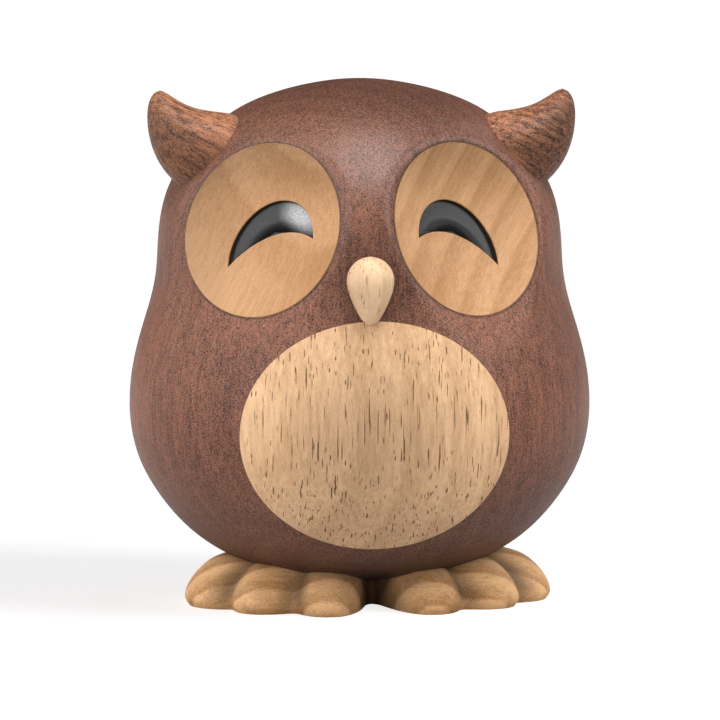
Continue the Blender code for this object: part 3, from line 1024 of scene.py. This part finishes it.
@dataclass
class Feet:
    """The carved feet: one outline with six toes, drawn in with height."""

    around: int = 720
    along: int = 60
    least_reach: float = 2.0
    turn: float = math.radians(5.0)
    offset: float = 0.9 * MM
    outline: Table = (
        (0.0, 12.0), (4.0, 12.6), (7.5, 14.6), (12.0, 23.0), (17.0, 28.7), (23.0, 30.8),
        (29.0, 30.9), (34.0, 29.9), (38.0, 28.9), (41.0, 29.2), (45.5, 32.4), (51.0, 35.0),
        (57.0, 35.6), (61.5, 34.9), (64.5, 34.3), (67.0, 36.0), (71.0, 38.4), (76.0, 39.6),
        (82.0, 39.4), (89.0, 38.0), (98.0, 35.4), (110.0, 31.6), (128.0, 26.6), (150.0, 23.0),
        (180.0, 21.5),
    )
    side: Table = (
        (0.0, 1.1), (1.0, 0.3), (2.2, 0.1), (4.0, 0.8), (5.8, 1.9), (7.5, 3.5), (9.0, 5.3),
        (9.9, 7.4), (10.4, 10.5), (10.7, 16.0),
    )

    def build(self) -> bpy.types.Object:
        """Builds the feet: distance from the axis is the outline less the side's inset."""
        turn = 360.0 * np.arange(self.around) / self.around
        outline = smooth_table(self.outline, np.minimum(turn, 360.0 - turn))
        points = np.array(self.side)
        dense = even_spline(points, self.along)
        reach = np.maximum(outline[None, :] - dense[:, 1:], self.least_reach) * MM
        angle = np.radians(turn)[None, :] + self.turn
        height = np.broadcast_to(dense[:, :1] * MM, reach.shape)
        across = self.offset + reach * np.sin(angle)
        rows = np.stack([across, -reach * np.cos(angle), height], axis=-1)
        return grid_piece("feet_carving", rows)


@dataclass(frozen=True)
class Lamp:
    """A far, soft light.

    azimuth is in degrees from the owl's front towards its +X side, elevation in degrees over
    the floor, power in watts per square metre, and spread is how wide the light looks from the
    owl, in degrees. on_floor says whether it lights the floor that shows, and so casts a
    shadow there.
    """

    name: str
    azimuth: float
    elevation: float
    power: float
    spread: float
    on_floor: bool = False


@dataclass(frozen=True)
class Sheet:
    """A flat sheet on the ground. One that isn't seen only throws light back up."""

    name: str
    level: float
    white: float
    glow: float
    seen: bool


@dataclass
class Studio:
    """Floor, light and camera. The fill lights pass by the floor, which all_but_floor excludes."""

    azimuth: float = -3.5
    elevation: float = 7.0
    distance: float = 1.5
    view_width: float = 151.9 * MM
    target: Triple = (0.1 * MM, 0.0, 50.4 * MM)
    sensor: float = 36.0
    surroundings: float = 0.06
    floor_reach: float = 6.0
    sheets: tuple[Sheet, ...] = (
        Sheet("floor", 0.0, 0.80, 0.82, seen=True),
        Sheet("bounce", -0.2 * MM, 0.50, 0.0, seen=False),
    )
    lamps: tuple[Lamp, ...] = (
        Lamp("top", 15.0, 74.0, 3.35, 40.0),
        Lamp("left_side", -86.0, 25.0, 2.3, 90.0),
        Lamp("right_side", 66.0, 30.0, 1.65, 34.0, on_floor=True),
        Lamp("front_left", -48.0, 20.0, 1.15, 50.0),
        Lamp("back_right", 125.0, 28.0, 0.5, 40.0),
        Lamp("front_low", 0.0, 8.0, 0.4, 40.0),
    )
    all_but_floor: bpy.types.Collection = field(
        default_factory=lambda: bpy.data.collections.new("all_but_floor")
    )

    def build_camera(self) -> None:
        """Makes the camera, looking at the target along a long lens."""
        data = bpy.data.cameras.new("camera")
        camera = new_object("camera", data)
        back = direction(math.radians(self.azimuth), math.radians(self.elevation))
        camera.location = Vector(self.target) + back * self.distance
        camera.rotation_mode = "QUATERNION"
        camera.rotation_quaternion = (-back).to_track_quat("-Z", "Y")
        data.sensor_width = self.sensor
        data.lens = self.sensor * self.distance / self.view_width
        data.clip_start = 0.01
        data.clip_end = 50.0
        bpy.context.scene.camera = camera

    def build_lamp(self, lamp: Lamp) -> None:
        """Makes one light."""
        data = bpy.data.lights.new(lamp.name, "SUN")
        data.energy = lamp.power
        data.angle = math.radians(lamp.spread)
        light = new_object(lamp.name, data)
        towards = direction(math.radians(lamp.azimuth), math.radians(lamp.elevation))
        light.location = towards
        light.rotation_mode = "QUATERNION"
        light.rotation_quaternion = towards.to_track_quat("Z", "Y")
        if not lamp.on_floor:
            light.light_linking.receiver_collection = self.all_but_floor

    def build_world(self) -> None:
        """Makes dim, plain white surroundings."""
        world = bpy.data.worlds.new("surroundings")
        bpy.context.scene.world = world
        world.use_nodes = True
        light = world.node_tree.nodes["Background"]
        light.inputs["Color"].default_value = (1.0, 1.0, 1.0, 1.0)
        light.inputs["Strength"].default_value = self.surroundings

    def build_sheet(self, sheet: Sheet) -> None:
        """Makes a plain white sheet: the floor that shows, or one that throws light back up."""
        mesh = bpy.data.meshes.new(sheet.name)
        reach = self.floor_reach
        signs = ((-1, -1), (1, -1), (1, 1), (-1, 1))
        corners = [(x * reach, y * reach, sheet.level) for x, y in signs]
        mesh.from_pydata(corners, [], [(0, 1, 2, 3)])
        ground = new_object(sheet.name, mesh)
        recipe = Recipe(f"{sheet.name}_white")
        grain = recipe.noise(recipe.place_in_mm(), Noise(0.4))
        surface = {
            "Base Color": recipe.mix(grain, (sheet.white - 0.005,) * 3, (sheet.white + 0.005,) * 3),
            "Roughness": 0.9,
            "Specular IOR Level": 0.0,
            "Emission Color": recipe.mix(grain, (0.99, 0.99, 0.99), (1.0, 1.0, 1.0)),
            "Emission Strength": sheet.glow,
        }
        mesh.materials.append(recipe.close(surface))
        ground.visible_camera = sheet.seen
        ground.visible_diffuse = not sheet.seen
        ground.visible_glossy = not sheet.seen
        ground.visible_shadow = not sheet.seen
        if sheet.seen:
            self.all_but_floor.objects.link(ground)
            self.all_but_floor.collection_objects[0].light_linking.link_state = "EXCLUDE"

    def build(self) -> None:
        """Builds the whole studio."""
        self.build_camera()
        self.build_world()
        for sheet in self.sheets:
            self.build_sheet(sheet)
        for lamp in self.lamps:
            self.build_lamp(lamp)
        scene = bpy.context.scene
        scene.view_settings.view_transform = "Standard"
        scene.view_settings.look = "None"


# ---------------------------------------------------------------- finishes
# Steps run between places on the owl in millimetres or, round the feet, in degrees.


def foot_painted_shade(recipe: Recipe) -> Term:
    """Gives the feet's painted shade: darker on top under the body, between the toes and between
    the two feet.
    """
    feet = Feet()
    across, deep, height = recipe.axes()
    aside = across - feet.offset / MM
    bearing = recipe.math("ARCTAN2", aside, 0.0 - deep) * math.degrees(1.0)
    from_front = abs(bearing - math.degrees(feet.turn))
    # Painted shade in the grooves between the toes, between the two feet and on top under the body.
    inner = abs(from_front - 38.0).step(9.0, 0.0)
    outer = abs(from_front - 64.5).step(7.0, 0.0)
    groove = inner.most(outer) * height.step(-1.0, 4.0) * 0.66
    middle = from_front.step(17.0, 4.0) * 0.80
    top = recipe.length(aside, deep).step(34.0, 24.0) * height.step(2.0, 8.0) * 0.32
    return middle.most(groove.most(top))


def eye_gap(recipe: Recipe, lift: float) -> Term:
    """Gives the distance, in millimetres, from a point on the nearer eye's axis.

    Args:
        recipe: the material's recipe.
        lift: how far the point is out along the axis from the middle of the disc's rim plane.

    Returns:
        The distance.
    """
    place = EyePlace()
    middle = place.frame(Side.RIGHT) @ Vector((0.0, 0.0, lift))
    across, deep, height = recipe.axes()
    aside = abs(across - place.offset / MM) - (middle.x - place.offset) / MM
    return recipe.length(aside, deep - middle.y / MM, height - middle.z / MM)


def body_painted_shade(recipe: Recipe) -> Term:
    """Gives the body's painted shade.

    It is darker towards the underside, on the crown and between the eyes, where less light falls,
    and in a fine line along each disc's rim: the joint, with painted shadow in its gap.
    """
    across, deep, height = recipe.axes()
    radius = EyePlace().radius / MM
    # A fine dark line at each disc's rim: the joint, with painted shadow in its gap.
    rim = eye_gap(recipe, 0.0).step(radius + 0.75, radius + 0.10) * 0.55
    # Painted shade between the eyes, on the crown and towards the underside.
    between = abs(across).step(13.0, 5.0) * deep.step(-25.0, -35.0)
    bridge = between * height.step(90.0, 78.0) * 0.34
    crown = height.step(100.0, 109.0) * 0.26 + height.step(78.0, 92.0) * 0.20
    low = height.step(46.0, 14.0) * 0.38 + height.step(16.0, 6.0) * 0.42
    return rim.most(bridge.most(crown + low))


def body_polish(recipe: Recipe) -> Term:
    """Gives how glossy the body is: hands have polished its forehead."""
    _, deep, height = recipe.axes()
    forehead = height.step(76.0, 90.0) * deep.step(-8.0, -26.0)
    return forehead * 0.24 + 0.04


def ear_painted_shade(recipe: Recipe) -> Term:
    """Gives an ear's painted shade: darker lower down and towards its outer edge."""
    across, _, height = recipe.axes()
    inward = height - abs(across) * 0.6
    return inward.step(86.0, 76.0) * 0.50


def eye_painted_shade(recipe: Recipe) -> Term:
    """Gives an eye disc's painted shade, and the black of its seat's walls.

    It is browner at the top, painted shade where the dished face turns down, and on the left
    disc's outer side, both painted shade and a brown band in its grain. It is darker in a fine
    line at the rim, the joint with painted shadow in it, and black on the walls of the
    crescent's seat, where the distance from the middle of the bowl's sphere is more than the
    sphere's radius.
    """
    place = EyePlace()
    across, _, height = recipe.axes()
    bowl = (place.radius**2 + place.dish_depth**2) / (2.0 * place.dish_depth)
    wall = eye_gap(recipe, bowl - place.dish_depth).step(bowl / MM + 0.10, bowl / MM + 0.22)
    radius = place.radius / MM
    # A fine darker line at the rim: the joint, with painted shadow in it.
    rim = eye_gap(recipe, 0.0).step(radius - 0.45, radius - 0.05) * 0.35
    # Painted shade at the top; on the left disc's outer side, painted shade and a band in the
    # grain.
    top = height.step(84.0, 98.0) * 0.24
    outer = across.step(-24.0, -37.0) * 0.24
    left = across.step(-16.0, -26.0) * 0.08
    brown = recipe.math("MINIMUM", top + outer + left, 0.44)
    return rim.most(brown).most(wall * 0.93)


def belly_painted_shade(recipe: Recipe) -> Term:
    """Gives the belly's painted shade: darker in the middle, which the side lights reach less, and
    at the bottom.
    """
    across, _, height = recipe.axes()
    rise = height - 41.0
    reach = recipe.math("SQRT", across * across + rise * rise * 0.8)
    return reach.step(25.0, 3.0) * 0.32 + height.step(30.0, 18.0) * 0.22


WALNUT = Wood(
    name="walnut_body",
    dark=(0.030, 0.010, 0.007),
    light=(0.265, 0.108, 0.064),
    pore=(0.022, 0.008, 0.006),
    pith=(35.0, 60.0, 0.0),
    ring_gap=6.0,
    ring_share=0.05,
    fibre_share=0.65,
    pore_gap=(0.55, 4.5),
    pore_size=0.34,
    pore_rate=0.55,
    pore_depth=0.7,
    speck_share=1.25,
    sheen=0.24,
    shade=body_painted_shade,
    polish=body_polish,
)
EAR_WALNUT = Wood(
    name="walnut_ear",
    dark=(0.028, 0.009, 0.006),
    light=(0.450, 0.192, 0.100),
    pore=(0.022, 0.008, 0.005),
    grain=(0.0, math.radians(60.0), 0.0),
    ring_gap=2.2,
    ring_share=0.08,
    fibre_share=1.1,
    pore_gap=(0.5, 4.0),
    pore_size=0.36,
    pore_rate=0.8,
    pore_depth=0.8,
    speck_share=0.8,
    shade=ear_painted_shade,
)
EYE_MAPLE = Wood(
    name="maple_eye",
    dark=(0.290, 0.142, 0.058),
    light=(0.520, 0.300, 0.155),
    pore=(0.18, 0.08, 0.035),
    grain=(math.radians(25.0), math.radians(-30.0), 0.0),
    ring_gap=7.0,
    ring_share=0.15,
    patch_share=0.8,
    pore_gap=(0.6, 2.0),
    pore_size=0.2,
    pore_rate=0.4,
    pore_depth=0.45,
    speck_share=0.4,
    sheen=0.15,
    shade=eye_painted_shade,
)
BELLY_OAK = Wood(
    name="oak_belly",
    dark=(0.430, 0.250, 0.130),
    light=(0.690, 0.440, 0.255),
    pore=(0.105, 0.042, 0.020),
    ring_gap=9.0,
    ring_share=0.12,
    fibre_share=0.8,
    pore_gap=(1.0, 5.0),
    pore_size=0.20,
    pore_depth=0.92,
    speck_share=0.4,
    vessel_rate=0.16,
    sheen=0.15,
    shade=belly_painted_shade,
)
BEAK_OAK = Wood(
    name="oak_beak",
    dark=(0.470, 0.300, 0.170),
    light=(0.680, 0.470, 0.300),
    pore=(0.17, 0.08, 0.04),
    ring_share=0.15,
    pore_gap=(0.9, 3.0),
    pore_size=0.22,
    pore_depth=0.85,
    speck_share=0.3,
    vessel_rate=0.14,
)
FOOT_OAK = Wood(
    name="oak_feet",
    dark=(0.330, 0.150, 0.050),
    light=(0.780, 0.460, 0.230),
    pore=(0.25, 0.11, 0.045),
    grain=(0.0, math.radians(90.0), 0.0),
    ring_gap=5.0,
    ring_share=0.25,
    patch_share=0.6,
    pore_gap=(0.6, 3.5),
    pore_size=0.22,
    pore_rate=0.35,
    pore_depth=0.45,
    speck_share=0.5,
    roughness=0.6,
    shade=foot_painted_shade,
)
BEECH_DOWEL = Wood(
    name="beech_dowel",
    dark=(0.45, 0.30, 0.17),
    light=(0.62, 0.45, 0.28),
    pore=(0.30, 0.18, 0.10),
    roughness=0.65,
)
CRESCENT_METAL = DarkMetal()


def dress(piece: bpy.types.Object, material: bpy.types.Material, slot: str, *nodes: str) -> None:
    """Gives a piece its finish and its body, and hides the nodes that it stands for. slot is not
    used.
    """
    piece.data.materials.clear()
    piece.data.materials.append(material)
    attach(piece, "root")
    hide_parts(*nodes)
    LOG.info("%s: %d faces, stands for %s", piece.name, len(piece.data.polygons), ", ".join(nodes))


def main() -> None:
    """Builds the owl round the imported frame, and the studio."""
    logging.basicConfig(level=logging.INFO, format="%(message)s")
    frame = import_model()
    Studio().build()

    eyes = EyePlace()
    belly = BellyPlace()
    body = Body(eyes, belly)
    dress(body.build(), WALNUT.material(), "dark_wood", "body")
    eye_wood = EYE_MAPLE.material()
    metal = CRESCENT_METAL.material()
    ear_wood = EAR_WALNUT.material()
    for side in Side:
        disc, plate = Eye(side, eyes).build()
        dress(disc, eye_wood, "eye_wood", f"{side.word}_eye_disc")
        dress(plate, metal, "dark_metal", f"{side.word}_eye_crescent")
        dress(Ear(side, body).build(), ear_wood, "ear_wood", f"{side.word}_ear")
    dress(BellyInlay(body, belly).build(), BELLY_OAK.material(), "belly_wood", "belly_inlay")
    dress(Beak().build(), BEAK_OAK.material(), "beak_wood", "beak")
    dress(Feet().build(), FOOT_OAK.material(), "foot_wood", "feet")
    dowel_wood = BEECH_DOWEL.material()
    for name, node in frame["nodes"].items():
        if name.endswith("dowel"):
            node.data.materials.clear()
            node.data.materials.append(dowel_wood)
            LOG.info("%s: kept from the frame", name)


if __name__ == "__main__":
    main()
